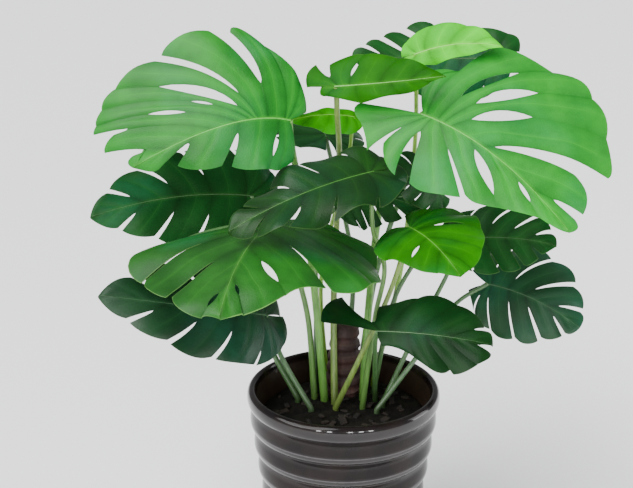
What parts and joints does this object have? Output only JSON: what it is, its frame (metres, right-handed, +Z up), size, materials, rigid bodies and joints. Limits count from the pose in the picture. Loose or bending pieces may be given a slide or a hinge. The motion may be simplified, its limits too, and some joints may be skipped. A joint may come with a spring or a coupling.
{
  "type": "potted plant",
  "caption": "Potted swiss cheese plant: large slit and holed leaves on bowed stalks, rooted in soil in a ribbed, glazed dark brown pot",
  "frame": {"origin": "middle of the pot's flat base, on the pot's axis", "axes": "+Z up along the pot's axis, -Y towards the side that the picture shows, +X to its right"},
  "size_m": [0.771, 0.5119, 0.8307],
  "materials": {
    "pot": "gloss",
    "soil": "matte",
    "wood": "satin",
    "bluish": "satin",
    "bright": "satin",
    "dark": "satin",
    "lime": "satin",
    "middle": "satin",
    "yellow": "satin"
  },
  "bodies": {
    "root": {"pot": "pot", "soil": "soil", "main_stem": "wood", "leaf_big_upper_left": "bright", "leaf_big_upper_right": "bright", "leaf_drooping_middle_left": "middle", "leaf_far_left_above": "dark", "leaf_far_left_below": "bluish", "leaf_bright_right_of_middle": "yellow", "leaf_lower_right": "dark", "leaf_far_right_below": "bluish", "leaf_right_behind": "dark", "leaf_top_edge_on": "yellow", "leaf_top_lime": "lime", "leaf_top_back": "dark", "leaf_small_curled": "lime", "leaf_twisted_middle": "middle", "leaf_dark_middle": "dark", "leaf_dark_right_of_middle": "dark", "leaf_back_middle": "dark"}
  },
  "joints": []
}
